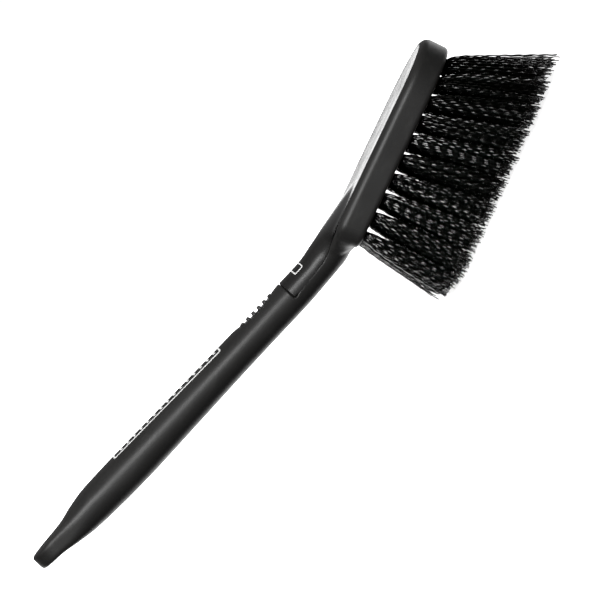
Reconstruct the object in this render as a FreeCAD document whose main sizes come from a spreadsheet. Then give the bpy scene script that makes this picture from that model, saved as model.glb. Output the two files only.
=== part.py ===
import FreeCAD, Part
import Sketcher

import math
import os

from FreeCAD import Placement, Rotation, Vector

# Wheel brush: a rounded head with ten rows of tufts, on an angled handle that is moulded in two shots.
# Frame: origin at the centre of the flat back plate, +X towards the toe of the head, +Z out of the back.
# The tufts point down (-Z), and the handle rises backwards from the heel (-X, +Z). Y = 0 is a mirror plane.

# Driving dimensions: millimetres and degrees.
SIZES = {
    # head
    "head_length": 102.0,
    "head_width": 62.0,
    "head_height": 13.2,
    "heel_corner_radius": 9.0,
    "back_edge_radius": 3.9,
    "face_edge_radius": 2.0,
    # hard shot inside the soft bumper
    "rim_inset": 3.8,
    "face_inset": 2.6,
    "rim_step_depth": 5.5,
    "cover_thickness": 2.5,
    # handle axis, which starts in the plane of the back plate
    "handle_angle": 17.65,
    "handle_start": 71.9,
    "corner_share": 0.94,
    # joint between the two shots on the neck
    "seam_along": 11.4,
    "seam_drop": 1.5,
    "edge_line_foot": 60.0,
    "edge_line_foot_drop": 2.9,
    "edge_line_head": 44.0,
    "edge_line_end": 24.0,
    # thumb rest
    "thumb_along": 27.6,
    "thumb_hollow_radius": 44.0,
    "thumb_hollow_floor": 6.0,
    "rib_count": 6,
    "rib_pitch": 3.62,
    "rib_width": 12.0,
    "rib_thickness": 1.5,
    "rib_top": 7.25,
    "rib_height": 2.2,
    # hanging slot through the flattened end
    "slot_along": 167.5,
    "slot_length": 18.5,
    "slot_width": 9.0,
    # tufts
    "row_count": 10,
    "row_pitch": 9.62,
    "first_row": -44.2,
    "column_pitch": 9.6,
    "tuft_edge_gap": 6.6,
    "hole_radius": 3.0,
    "hole_depth": 9.0,
    "hole_overrun": 3.0,
    "tuft_depth": 8.8,
    "tuft_root_radius": 2.6,
    "tuft_tip_radius": 4.6,
    "tuft_cone_length": 75.0,
    "trim_drop": 62.0,
    "heel_lean": -7.0,
    "toe_lean": 25.0,
    "side_splay": 6.0,
    # anchors
    "anchor_length": 6.4,
    "anchor_height": 2.4,
    "anchor_thickness": 0.4,
    "anchor_depth": 8.1,
}

# Sections of the neck, from under the back plate to the start of the straight handle:
# distance behind the origin, height of the centre, tilt, half width, half thickness.
NECK_SECTIONS = {
    "plate_run": (22.0, -6.75, 0.0, 25.0, 6.2),
    "plate_foot": (36.0, -5.85, 0.0, 26.5, 6.7),
    "heel_inside": (46.0, -5.0, 2.0, 25.0, 7.6),
    "heel_wall": (50.8, -4.4, 4.0, 20.5, 8.1),
    "flare": (54.5, -3.7, 7.0, 15.8, 8.2),
    "neck_root": (60.0, -2.5, 12.0, 12.9, 8.0),
    "neck": (67.0, -0.9, 15.5, 12.1, 7.8),
}

# Sections square to the straight handle: distance along its axis, half width, half thickness.
HANDLE_SECTIONS = {
    "thumb_front": (8.0, 12.0, 7.6),
    "thumb_back": (42.0, 12.9, 8.0),
    "grip_middle": (82.0, 13.9, 8.45),
    "grip_swell": (122.0, 14.3, 8.95),
    "grip_back": (147.0, 13.7, 8.1),
    "flattening": (158.5, 13.2, 6.2),
    "end": (168.0, 13.0, 4.45),
}

PARTS_FOLDER = "parts"

# How far the cutting tools reach past the form: to each side, above the back plate, below the face.
BOTH_WAYS = 200.0
CAP_ABOVE = 12.0
BELOW_FACE = 1.0

# A feature that changes the volume by less than this many cubic millimetres has missed the solid.
LEAST_CHANGE = 100.0

doc = FreeCAD.newDocument("wheel_brush")
sheet = doc.addObject("Spreadsheet::Sheet", "Sizes")


def fill_sheet():
    """Writes every driving dimension to the sheet, each with its own alias."""
    cells = dict(SIZES)
    for name, (back, height, tilt, half_width, half_thickness) in NECK_SECTIONS.items():
        cells[name + "_back"] = back
        cells[name + "_height"] = height
        cells[name + "_tilt"] = tilt
        cells[name + "_half_width"] = half_width
        cells[name + "_half_thickness"] = half_thickness
    for name, (along, half_width, half_thickness) in HANDLE_SECTIONS.items():
        cells[name + "_along"] = along
        cells[name + "_half_width"] = half_width
        cells[name + "_half_thickness"] = half_thickness
    for row, (alias, value) in enumerate(cells.items(), start=1):
        sheet.set(f"A{row}", alias)
        sheet.set(f"B{row}", str(value))
        sheet.setAlias(f"B{row}", alias)
    doc.recompute()


def size(alias):
    return float(sheet.get(alias))


# Frames -------------------------------------------------------------------------------------------


def handle_direction():
    angle = math.radians(size("handle_angle"))
    return Vector(-math.cos(angle), 0, math.sin(angle))


def handle_point(along, out=0.0):
    """The point at a distance along the handle's axis, moved out of its back."""
    angle = math.radians(size("handle_angle"))
    back = Vector(math.sin(angle), 0, math.cos(angle))
    return Vector(-size("handle_start"), 0, 0) + handle_direction() * along + back * out


def handle_frame(along, out=0.0):
    """Local X runs down the handle towards the head, local Z out of its back."""
    return Placement(handle_point(along, out), Rotation(Vector(0, 1, 0), size("handle_angle")))


def section_frame(name):
    """Where a section sketch lies, in the axes of the YZ plane: Y, Z, X."""
    if name in NECK_SECTIONS:
        centre = Vector(-size(name + "_back"), 0, size(name + "_height"))
        tilt = size(name + "_tilt")
    else:
        centre = handle_point(size(name + "_along"))
        tilt = size("handle_angle")
    return Placement(Vector(centre.y, centre.z, centre.x), Rotation(Vector(1, 0, 0), tilt))


# Sketch helpers -----------------------------------------------------------------------------------


def add_sketch(body, name, role, offset=Placement()):
    """A sketch on one of its own body's origin planes."""
    sketch = body.newObject("Sketcher::SketchObject", name)
    plane = [item for item in body.Origin.OriginFeatures if item.Role == role][0]
    sketch.AttachmentSupport = [(plane, "")]
    sketch.MapMode = "FlatFace"
    sketch.AttachmentOffset = offset
    return sketch


def limit(sketch, formula, *constraint):
    """Adds one dimension and binds it to the sheet."""
    index = sketch.addConstraint(Sketcher.Constraint(*constraint))
    sketch.setExpression(f"Constraints[{index}]", formula)


def relate(sketch, *constraints):
    for constraint in constraints:
        sketch.addConstraint(Sketcher.Constraint(*constraint))


def arc(centre, radius, start, end):
    circle = Part.Circle(Vector(*centre, 0), Vector(0, 0, 1), radius)
    return Part.ArcOfCircle(circle, math.radians(start), math.radians(end))


def line(start, end):
    return Part.LineSegment(Vector(*start, 0), Vector(*end, 0))


def draw_head_outline(sketch, inset="0"):
    """Half-round toe, straight sides, heel with two rounded corners; inset moves it all inwards."""
    inward = size(inset) if inset != "0" else 0.0
    shift = f"Sizes.{inset}" if inset != "0" else "0"
    half = size("head_width") / 2
    toe_centre = size("head_length") / 2 - half
    heel = -size("head_length") / 2 + inward
    corner = size("heel_corner_radius")
    corner_x = -size("head_length") / 2 + corner
    side = half - inward
    radius = corner - inward
    sketch.addGeometry(
        [
            arc((toe_centre, 0), side, -90, 90),
            line((toe_centre, side), (corner_x, side)),
            arc((corner_x, half - corner), radius, 90, 180),
            line((heel, half - corner), (heel, corner - half)),
            arc((corner_x, corner - half), radius, 180, 270),
            line((corner_x, -side), (toe_centre, -side)),
        ],
        False,
    )
    relate(
        sketch,
        ("Tangent", 0, 2, 1, 1),
        ("Tangent", 1, 2, 2, 1),
        ("Tangent", 2, 2, 3, 1),
        ("Tangent", 3, 2, 4, 1),
        ("Tangent", 4, 2, 5, 1),
        ("Tangent", 5, 2, 0, 1),
        ("Horizontal", 1),
        ("Vertical", 3),
        ("Equal", 2, 4),
        ("PointOnObject", 0, 3, -1),
    )
    limit(sketch, f"Sizes.head_width / 2 - {shift}", "Radius", 0, side)
    limit(sketch, f"Sizes.heel_corner_radius - {shift}", "Radius", 2, radius)
    limit(sketch, "(Sizes.head_length - Sizes.head_width) / 2", "DistanceX", -1, 1, 0, 3, toe_centre)
    limit(sketch, f"Sizes.head_length / 2 - {shift}", "DistanceX", 3, 1, -1, 1, -heel)


def draw_oval(sketch, name, inset="0"):
    """A flat oval, centred on the sketch: four lines joined by arcs that nearly meet at the sides."""
    inward = size(inset) if inset != "0" else 0.0
    shift = f"Sizes.{inset}" if inset != "0" else "0"
    wide = size(name + "_half_width") - inward
    thick = size(name + "_half_thickness") - inward
    radius = thick * size("corner_share")
    right, top = wide - radius, thick - radius
    sketch.addGeometry(
        [
            line((-right, thick), (right, thick)),
            arc((right, top), radius, 0, 90),
            line((wide, top), (wide, -top)),
            arc((right, -top), radius, 270, 360),
            line((right, -thick), (-right, -thick)),
            arc((-right, -top), radius, 180, 270),
            line((-wide, -top), (-wide, top)),
            arc((-right, top), radius, 90, 180),
        ],
        False,
    )
    relate(
        sketch,
        ("Tangent", 0, 2, 1, 2),
        ("Tangent", 1, 1, 2, 1),
        ("Tangent", 2, 2, 3, 2),
        ("Tangent", 3, 1, 4, 1),
        ("Tangent", 4, 2, 5, 2),
        ("Tangent", 5, 1, 6, 1),
        ("Tangent", 6, 2, 7, 2),
        ("Tangent", 7, 1, 0, 1),
        ("Horizontal", 0),
        ("Vertical", 2),
        ("Horizontal", 4),
        ("Vertical", 6),
        ("Equal", 1, 3),
        ("Equal", 1, 5),
        ("Equal", 1, 7),
    )
    half_width = f"Sizes.{name}_half_width - {shift}"
    half_thickness = f"Sizes.{name}_half_thickness - {shift}"
    limit(sketch, f"({half_thickness}) * Sizes.corner_share", "Radius", 1, radius)
    limit(sketch, half_thickness, "DistanceY", -1, 1, 0, 1, thick)
    limit(sketch, half_thickness, "DistanceY", 4, 1, -1, 1, thick)
    limit(sketch, half_width, "DistanceX", -1, 1, 2, 1, wide)
    limit(sketch, half_width, "DistanceX", 6, 1, -1, 1, wide)


def new_body(name):
    body = doc.addObject("PartDesign::Body", name)
    body.Label = name
    return body


def level_edges(shape, height):
    """Names of the edges that lie wholly at one height."""
    names = []
    for number, edge in enumerate(shape.Edges, start=1):
        box = edge.BoundBox
        if abs(box.ZMin - height) < 0.01 and abs(box.ZMax - height) < 0.01:
            names.append(f"Edge{number}")
    return names


def pad_up(body, sketch, name, length):
    pad = body.newObject("PartDesign::Pad", name)
    pad.Profile = sketch
    pad.setExpression("Length", length)
    return pad


# Outer form, shared by both shots -----------------------------------------------------------------


def make_head_form():
    """The head as a slab with a large round on the back edge and a small one on the bristle face."""
    body = new_body("head_form")
    offset = Placement(Vector(0, 0, -size("head_height")), Rotation())
    sketch = add_sketch(body, "head_outline", "XY_Plane", offset)
    draw_head_outline(sketch)
    pad = pad_up(body, sketch, "head_slab", "Sizes.head_height")
    doc.recompute()
    back = body.newObject("PartDesign::Fillet", "head_back_round")
    back.Base = (pad, level_edges(pad.Shape, 0.0))
    back.setExpression("Radius", "Sizes.back_edge_radius")
    doc.recompute()
    face = body.newObject("PartDesign::Fillet", "head_face_round")
    face.Base = (back, level_edges(back.Shape, -size("head_height")))
    face.setExpression("Radius", "Sizes.face_edge_radius")
    doc.recompute()
    return body


def loft_sections(body, names, inset="0"):
    """Two smooth lofts through the named oval sections, which meet at the neck's root."""
    sketches = []
    for name in names:
        sketch = add_sketch(body, f"{body.Name}_{name}", "YZ_Plane", section_frame(name))
        draw_oval(sketch, name, inset)
        sketches.append(sketch)
    doc.recompute()
    joint = names.index("neck_root")
    for label, run in (("neck", sketches[: joint + 1]), ("handle", sketches[joint:])):
        loft = body.newObject("PartDesign::AdditiveLoft", f"{body.Name}_{label}_loft")
        loft.Profile = run[0]
        loft.Sections = run[1:]
        loft.Ruled = False
        doc.recompute()
    return loft


def draw_half_oval(sketch, name):
    """The half of an oval section on the +Y side of its own vertical axis."""
    wide = size(name + "_half_width")
    thick = size(name + "_half_thickness")
    radius = thick * size("corner_share")
    right, top = wide - radius, thick - radius
    sketch.addGeometry(
        [
            line((0, thick), (right, thick)),
            arc((right, top), radius, 0, 90),
            line((wide, top), (wide, -top)),
            arc((right, -top), radius, 270, 360),
            line((right, -thick), (0, -thick)),
            line((0, -thick), (0, thick)),
        ],
        False,
    )
    relate(
        sketch,
        ("Tangent", 0, 2, 1, 2),
        ("Tangent", 1, 1, 2, 1),
        ("Tangent", 2, 2, 3, 2),
        ("Tangent", 3, 1, 4, 1),
        ("Coincident", 4, 2, 5, 1),
        ("Coincident", 5, 2, 0, 1),
        ("Horizontal", 0),
        ("Vertical", 2),
        ("Horizontal", 4),
        ("Equal", 1, 3),
        ("PointOnObject", 5, 1, -2),
        ("PointOnObject", 5, 2, -2),
    )
    half_thickness = f"Sizes.{name}_half_thickness"
    limit(sketch, f"{half_thickness} * Sizes.corner_share", "Radius", 1, radius)
    limit(sketch, half_thickness, "DistanceY", -1, 1, 0, 1, thick)
    limit(sketch, half_thickness, "DistanceY", 4, 2, -1, 1, thick)
    limit(sketch, f"Sizes.{name}_half_width", "DistanceX", -1, 1, 2, 1, wide)


def make_handle_form():
    """Neck and handle, with a half-round end and the hanging slot through it."""
    body = new_body("handle_form")
    loft = loft_sections(body, [*NECK_SECTIONS, *HANDLE_SECTIONS])
    end_sketch = add_sketch(body, "end_half", "YZ_Plane", section_frame("end"))
    draw_half_oval(end_sketch, "end")
    doc.recompute()
    end = body.newObject("PartDesign::Revolution", "round_end")
    end.Profile = end_sketch
    end.ReferenceAxis = (end_sketch, ["V_Axis"])
    end.Angle = 180
    doc.recompute()
    if end.Shape.Volume < loft.Shape.Volume + LEAST_CHANGE:
        end.Reversed = True
        doc.recompute()
    slot_sketch = add_sketch(body, "slot_outline", "XY_Plane", handle_frame(size("slot_along")))
    draw_slot(slot_sketch)
    doc.recompute()
    before = end.Shape.Volume
    slot = body.newObject("PartDesign::Pocket", "hanging_slot")
    slot.Profile = slot_sketch
    slot.Type = "ThroughAll"
    slot.Midplane = True
    doc.recompute()
    if slot.Shape.Volume > before - LEAST_CHANGE:
        raise RuntimeError("the hanging slot cut nothing")
    return body


def draw_slot(sketch):
    """A slot along the handle, centred on the sketch."""
    radius = size("slot_width") / 2
    reach = size("slot_length") / 2 - radius
    sketch.addGeometry(
        [
            line((-reach, radius), (reach, radius)),
            arc((reach, 0), radius, -90, 90),
            line((reach, -radius), (-reach, -radius)),
            arc((-reach, 0), radius, 90, 270),
        ],
        False,
    )
    relate(
        sketch,
        ("Tangent", 0, 2, 1, 2),
        ("Tangent", 1, 1, 2, 1),
        ("Tangent", 2, 2, 3, 2),
        ("Tangent", 3, 1, 0, 1),
        ("Horizontal", 0),
        ("Equal", 1, 3),
        ("Symmetric", 1, 3, 3, 3, -1, 1),
    )
    limit(sketch, "Sizes.slot_width / 2", "Radius", 1, radius)
    limit(sketch, "(Sizes.slot_length - Sizes.slot_width) / 2", "DistanceX", -1, 1, 1, 3, reach)


def primitive(kind, name, placement, **bound):
    """A Part primitive with each named size bound to the sheet."""
    item = doc.addObject(f"Part::{kind}", name)
    for key, formula in bound.items():
        item.setExpression(key, formula)
    item.Placement = placement
    return item


def boolean(kind, name, base, tool):
    item = doc.addObject(f"Part::{kind}", name)
    item.Base = base
    item.Tool = tool
    return item


def gather(kind, name, items):
    item = doc.addObject(f"Part::{kind}", name)
    setattr(item, "Links" if kind == "Compound" else "Shapes", items)
    return item


def make_thumb_ribs():
    """Low bars across the thumb hollow."""
    ribs = []
    count = int(size("rib_count"))
    for number in range(count):
        along = size("thumb_along") + (number - (count - 1) / 2) * size("rib_pitch")
        frame = handle_frame(along, size("rib_top") - size("rib_height"))
        corner = Placement(Vector(-size("rib_thickness") / 2, -size("rib_width") / 2, 0), Rotation())
        ribs.append(
            primitive(
                "Box",
                f"thumb_rib_{number + 1}",
                frame.multiply(corner),
                Length="Sizes.rib_thickness",
                Width="Sizes.rib_width",
                Height="Sizes.rib_height",
            )
        )
    return gather("Compound", "thumb_ribs", ribs)


def make_outer_form():
    """Head and handle together, hollowed for the thumb and ribbed there."""
    whole = boolean("Fuse", "brush_form", make_head_form(), make_handle_form())
    radius = size("thumb_hollow_radius")
    centre = handle_frame(size("thumb_along"), size("thumb_hollow_floor") + radius)
    ball = primitive("Sphere", "thumb_ball", centre, Radius="Sizes.thumb_hollow_radius")
    hollowed = boolean("Cut", "hollowed_form", whole, ball)
    return boolean("Fuse", "outer_form", hollowed, make_thumb_ribs())


# Tools that divide the outer form into its two shots ----------------------------------------------


def make_plate_tool():
    """The hard block inside the bumper, stepped where the bumper hooks over its back edge."""
    body = new_body("plate_tool")
    low = Placement(Vector(0, 0, -size("head_height") - BELOW_FACE), Rotation())
    sketch = add_sketch(body, "face_block_outline", "XY_Plane", low)
    draw_head_outline(sketch, "face_inset")
    pad_up(body, sketch, "face_block", f"Sizes.head_height - Sizes.rim_step_depth + {BELOW_FACE}")
    doc.recompute()
    step = Placement(Vector(0, 0, -size("rim_step_depth")), Rotation())
    upper = add_sketch(body, "plate_outline", "XY_Plane", step)
    draw_head_outline(upper, "rim_inset")
    pad_up(body, upper, "plate_block", f"Sizes.rim_step_depth + {CAP_ABOVE}")
    doc.recompute()
    return body


def make_neck_tool():
    """The hard top of the neck: all that lies above the edge line, back to the seam."""
    body = new_body("neck_tool")
    sketch = add_sketch(body, "neck_profile", "XZ_Plane")
    seam_low = handle_point(size("seam_along"), -size("seam_drop"))
    seam_high = handle_point(size("seam_along"), CAP_ABOVE)
    foot = (-size("edge_line_foot"), -size("edge_line_foot_drop"))
    head = (-size("edge_line_head"), 0.0)
    far = (-size("edge_line_end"), 0.0)
    top = (far[0], CAP_ABOVE)
    corners = [(seam_low.x, seam_low.z), foot, head, far, top, (seam_high.x, seam_high.z)]
    sides = [line(start, end) for start, end in zip(corners, corners[1:] + corners[:1])]
    sketch.addGeometry(sides, False)
    for side in range(len(sides)):
        relate(sketch, ("Coincident", side, 2, (side + 1) % len(sides), 1))
    limit(sketch, "Sizes.edge_line_foot", "DistanceX", 1, 1, -1, 1, -foot[0])
    limit(sketch, "Sizes.edge_line_foot_drop", "DistanceY", 1, 1, -1, 1, -foot[1])
    limit(sketch, "Sizes.edge_line_head", "DistanceX", 2, 1, -1, 1, -head[0])
    limit(sketch, "Sizes.edge_line_end", "DistanceX", 3, 1, -1, 1, -far[0])
    relate(sketch, ("PointOnObject", 2, 1, -1), ("Horizontal", 2), ("Vertical", 3))
    pad = body.newObject("PartDesign::Pad", "neck_cap")
    pad.Profile = sketch
    pad.setExpression("Length", "Sizes.head_width * 2")
    pad.Midplane = True
    doc.recompute()
    return body


def make_spine_tool():
    """The hard spine that runs inside the grip, one cover thickness below its surface."""
    body = new_body("spine_tool")
    names = [*NECK_SECTIONS, *HANDLE_SECTIONS]
    inside = names[: names.index("grip_back") + 1]
    loft_sections(body, inside, "cover_thickness")
    return body


# Tufts and anchors --------------------------------------------------------------------------------


def row_place(row):
    return size("first_row") + row * size("row_pitch")


def row_reach(place):
    """How far from the middle a tuft of this row may stand."""
    half = size("head_width") / 2 - size("tuft_edge_gap")
    past_toe_centre = place - (size("head_length") - size("head_width")) / 2
    if past_toe_centre <= 0:
        return half
    return math.sqrt(max(half**2 - past_toe_centre**2, 0))


def tuft_frames(row):
    """One frame for each tuft of a row: at the middle of its hole's mouth, local Z along the tuft."""
    place = row_place(row)
    pitch = size("column_pitch")
    count = int(2 * row_reach(place) / pitch) + 1
    share = row / (size("row_count") - 1)
    lean = size("heel_lean") + (size("toe_lean") - size("heel_lean")) * share
    frames = []
    for column in range(count):
        across = (column - (count - 1) / 2) * pitch
        splay = size("side_splay") * across / (size("head_width") / 2)
        down = Vector(math.tan(math.radians(lean)), math.tan(math.radians(splay)), -1)
        mouth = Vector(place, across, -size("head_height"))
        turn = Rotation(Vector(-1, 0, 0), Vector(0, 1, 0), down, "ZYX")
        frames.append(Placement(mouth, turn))
    return frames


def along_tuft(frame, distance, x=0.0, y=0.0):
    return frame.multiply(Placement(Vector(x, y, distance), Rotation()))


def make_tuft_row(row):
    """Cones for the tufts, cylinders for their holes and plates for their anchors, for one row."""
    cones, holes, anchors = [], [], []
    for number, frame in enumerate(tuft_frames(row), start=1):
        name = f"{row + 1:02d}_{number}"
        cones.append(
            primitive(
                "Cone",
                f"tuft_{name}",
                along_tuft(frame, -size("tuft_depth")),
                Radius1="Sizes.tuft_root_radius",
                Radius2="Sizes.tuft_tip_radius",
                Height="Sizes.tuft_cone_length",
            )
        )
        holes.append(
            primitive(
                "Cylinder",
                f"hole_{name}",
                along_tuft(frame, -size("hole_depth")),
                Radius="Sizes.hole_radius",
                Height="Sizes.hole_depth + Sizes.hole_overrun",
            )
        )
        anchors.append(
            primitive(
                "Box",
                f"anchor_{name}",
                along_tuft(
                    frame,
                    -size("anchor_depth"),
                    -size("anchor_thickness") / 2,
                    -size("anchor_length") / 2,
                ),
                Length="Sizes.anchor_thickness",
                Width="Sizes.anchor_length",
                Height="Sizes.anchor_height",
            )
        )
    anchor_row = gather("Compound", f"anchors_row_{row + 1:02d}", anchors)
    cone_row = gather("Compound", f"cones_row_{row + 1:02d}", cones)
    return cone_row, gather("Compound", f"holes_row_{row + 1:02d}", holes), anchor_row


def make_trim_box():
    """The space above the flat trim of the tufts."""
    corner = Vector(-BOTH_WAYS, -BOTH_WAYS, -size("trim_drop"))
    box = primitive("Box", "trim_space", Placement(corner, Rotation()), Height="Sizes.trim_drop")
    box.Length = 2 * BOTH_WAYS
    box.Width = 2 * BOTH_WAYS
    return box


def make_tufts():
    """All rows; each row's tufts are trimmed flat and folded round their anchors."""
    trim = make_trim_box()
    tuft_rows, hole_rows, anchor_rows = [], [], []
    for row in range(int(size("row_count"))):
        cone_row, hole_row, anchor_row = make_tuft_row(row)
        trimmed = boolean("Common", f"trimmed_row_{row + 1:02d}", cone_row, trim)
        tuft_rows.append(boolean("Cut", f"tufts_row_{row + 1:02d}", trimmed, anchor_row))
        hole_rows.append(hole_row)
        anchor_rows.append(anchor_row)
    return tuft_rows, hole_rows, anchor_rows


# Sub-parts ----------------------------------------------------------------------------------------


def make_shots(hole_rows, anchor_rows):
    """Divides the outer form into the hard core and its soft overmould."""
    outer = make_outer_form()
    hard = gather("MultiFuse", "hard_space", [make_plate_tool(), make_neck_tool(), make_spine_tool()])
    blank = boolean("Common", "core_blank", outer, hard)
    drilled = boolean("Cut", "drilled_core", blank, gather("Compound", "tuft_holes", hole_rows))
    core = boolean("Cut", "core", drilled, gather("Compound", "anchor_bites", anchor_rows))
    cover = boolean("Cut", "soft_overmould", outer, hard)
    return core, cover


def check_document():
    """Stops if any object failed to compute."""
    for item in doc.Objects:
        if "Invalid" in item.State or "Error" in item.State:
            raise RuntimeError(f"{item.Name} failed: {item.State}")


def write_part(item, solids):
    """Writes one sub-part, after checking that it holds the right number of sound solids."""
    shape = item.Shape
    if shape.isNull() or not shape.isValid():
        raise RuntimeError(f"{item.Label} has no valid shape")
    if len(shape.Solids) != solids:
        raise RuntimeError(f"{item.Label} has {len(shape.Solids)} solids, not {solids}")
    shape.exportStep(os.path.join(PARTS_FOLDER, f"{item.Label}.step"))
    box = shape.BoundBox
    print(
        f"{item.Label}: {solids} solids, {shape.Volume / 1000:.2f} cm3, "
        f"x {box.XMin:.1f} to {box.XMax:.1f}, y {box.YMin:.1f} to {box.YMax:.1f}, "
        f"z {box.ZMin:.1f} to {box.ZMax:.1f}"
    )


def main():
    os.makedirs(PARTS_FOLDER, exist_ok=True)
    fill_sheet()
    tuft_rows, hole_rows, anchor_rows = make_tufts()
    core, cover = make_shots(hole_rows, anchor_rows)
    doc.recompute()
    check_document()
    write_part(core, 1)
    write_part(cover, 1)
    for row, (tufts, anchors) in enumerate(zip(tuft_rows, anchor_rows)):
        count = len(tuft_frames(row))
        write_part(tufts, count)
        write_part(anchors, count)


main()
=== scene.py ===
import math

import bpy
import numpy as np
from mathutils import Matrix, Vector


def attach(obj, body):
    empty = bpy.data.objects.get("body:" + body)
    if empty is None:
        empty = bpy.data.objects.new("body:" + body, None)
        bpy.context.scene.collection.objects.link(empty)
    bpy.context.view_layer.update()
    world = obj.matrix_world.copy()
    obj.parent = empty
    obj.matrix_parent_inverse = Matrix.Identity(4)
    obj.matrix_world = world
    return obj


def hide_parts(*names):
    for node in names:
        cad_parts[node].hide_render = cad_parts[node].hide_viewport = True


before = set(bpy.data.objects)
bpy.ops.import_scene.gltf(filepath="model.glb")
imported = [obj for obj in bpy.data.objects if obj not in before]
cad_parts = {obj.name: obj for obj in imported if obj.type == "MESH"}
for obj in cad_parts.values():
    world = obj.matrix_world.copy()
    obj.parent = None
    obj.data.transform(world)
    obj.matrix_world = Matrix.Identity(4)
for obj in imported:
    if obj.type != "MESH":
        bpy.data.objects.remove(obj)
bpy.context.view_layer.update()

# Wheel brush. The shapes are worked out in millimetres in the frame of the CAD model: +X to the toe, +Z out
# of the back plate, Y = 0 the mirror plane. Meshes are written in metres.
MM = 0.001

# Head: half-round toe, square heel with rounded corners.
HEAD_LENGTH = 102.0
HEAD_WIDTH = 62.0
HEAD_HEIGHT = 13.2
HEEL_CORNER = 9.0
BACK_ROUND = 3.9
FACE_ROUND = 2.0
TOE_CENTRE = (HEAD_LENGTH - HEAD_WIDTH) / 2

# Handle axis: a straight line at an angle, which starts in the plane of the back plate.
HANDLE_ANGLE = math.radians(17.65)
HANDLE_START = 71.9
HANDLE_DIRECTION = np.array([-math.cos(HANDLE_ANGLE), math.sin(HANDLE_ANGLE)])
HANDLE_OUTWARD = np.array([math.sin(HANDLE_ANGLE), math.cos(HANDLE_ANGLE)])

# Spine: straight inside the head at this level, then one smooth bend of this length into the handle axis.
SPINE_LEVEL = -6.6
BEND_LENGTH = 62.0

# Stations of the neck and handle: distance along the handle axis from its start, top and bottom of the
# section measured from the spine, half width.
STATIONS = [
    (-58.0, 2.4, -1.0, 9.0),
    (-48.0, 5.9, -1.6, 12.5),
    (-38.0, 7.9, -2.6, 16.5),
    (-29.0, 8.8, -4.8, 19.5),
    (-22.5, 8.95, -7.2, 19.3),
    (-17.5, 8.8, -8.4, 15.8),
    (-12.0, 8.55, -8.4, 12.9),
    (-4.0, 7.8, -8.35, 12.0),
    (8.0, 7.75, -8.75, 12.0),
    (28.0, 7.85, -8.75, 12.5),
    (50.0, 8.0, -8.8, 13.1),
    (82.0, 8.45, -9.2, 13.9),
    (118.0, 9.0, -9.5, 14.3),
    (133.0, 9.1, -9.1, 14.1),
    (145.0, 8.7, -8.45, 13.7),
    (153.0, 7.5, -7.6, 13.4),
    (160.0, 5.95, -6.1, 13.1),
    (168.0, 5.1, -4.25, 13.0),
    (176.0, 4.75, -3.8, 13.0),
    (190.0, 4.8, -4.1, 13.0),
]

# Power of the rounded section at places along the handle axis, and the centre of its half-round end.
ROUNDNESS = [(-60.0, 2.4), (0.0, 2.3), (120.0, 2.3), (140.0, 2.4), (156.0, 3.2), (168.0, 6.0), (190.0, 7.0)]
END_CENTRE = 168.0
THINNEST_HALF = 0.3

# Where the neck runs into the head: the crease melts under the back plate, but not at the side walls, and
# more at the two shoulders of the heel. Each pair is the start and the end of a smooth change.
CREASE = 0.1
MELT = 3.6
MELT_BEHIND = (16.0, 34.0)
WALL_ASIDE = (21.0, 27.0)
WALL_ALONG = (-49.0, -43.0)
SHOULDER = 7.0
SHOULDER_BEHIND = (40.0, 50.0)
SHOULDER_ASIDE = (10.0, 17.0)
SHOULDER_LOW = (-12.5, -8.0)
SHOULDER_HIGH = (-1.0, -4.0)

# The back plate sinks a little towards its middle.
PLATE_SINK = 0.28
RIM_INSET = 3.8
PLATE_HALF = HEAD_WIDTH / 2 - RIM_INSET
SINK_ALONG = (-50.0, -20.0)
SINK_UNDER = (-2.0, 0.0)

# Thumb rest in the back of the handle, flatter across than along, with low ribs.
THUMB_ALONG = 27.6
THUMB_RADIUS = 44.0
THUMB_FLOOR = 5.9
THUMB_SQUEEZE = 0.5
THUMB_EDGE = 0.8
RIB_COUNT = 6
RIB_PITCH = 3.62
RIB_HALF_WIDTH = 6.0
RIB_HALF_THICKNESS = 1.0
RIB_TOP = 7.6
RIB_FOOT = 3.0
RIB_EDGE = 0.45
RIB_MELT = 0.5

# Hanging slot.
SLOT_ALONG = 167.5
SLOT_LENGTH = 18.5
SLOT_WIDTH = 9.0
SLOT_EDGE = 1.3

# Where the hard shot meets the soft one: the plate and the block under it, the top of the neck down to its
# edge line, and the rib inside the grip under its cover.
FACE_INSET = 2.6
RIM_STEP = 5.5
COVER = 2.5
SPINE_END = 147.0
SEAM_ALONG = 11.4
SEAM_CORNER = 1.0
EDGE_LINE = [(-24.0, 0.0), (-44.0, -0.1), (-51.0, -1.5), (-60.0, -2.9), (-70.0, -1.4), (-83.0, 1.9)]

# Half the gap between the shots and the radius of its edges: closed along the neck, open at the grip and
# the head. A negative gap is an overlap.
GAP = 0.09
GAP_EDGE = 0.3
FINE_GAP = -0.4
FINE_EDGE = 0.12
GRIP_SEAM = (7.0, 10.0)
HEAD_SEAM = (-60.0, -50.0)

# Raised lip of the soft shot round the back plate.
LIP_HEIGHT = 0.12
LIP_OFFSET = 0.75
LIP_HALF_WIDTH = 0.55
LIP_ABOVE = (-6.0, -4.5)
LIP_ALONG = (-24.0, -12.0)

# Tufts: rows across the head, leaning from the heel to the toe and splayed to the sides.
ROW_COUNT = 10
ROW_PITCH = 9.62
FIRST_ROW = -44.2
COLUMN_PITCH = 9.6
TUFT_EDGE_GAP = 6.6
HEEL_LEAN = -7.0
TOE_LEAN = 25.0
SIDE_SPLAY = 6.0
TRIM_DROP = 62.0
HOLE_RADIUS = 3.0
HOLE_DEPTH = 9.0
HOLE_FLARE = 0.4
FAR_AWAY = 9.0


# Fields -------------------------------------------------------------------------------------------
# Each field is a signed distance in millimetres, negative inside.


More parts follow.
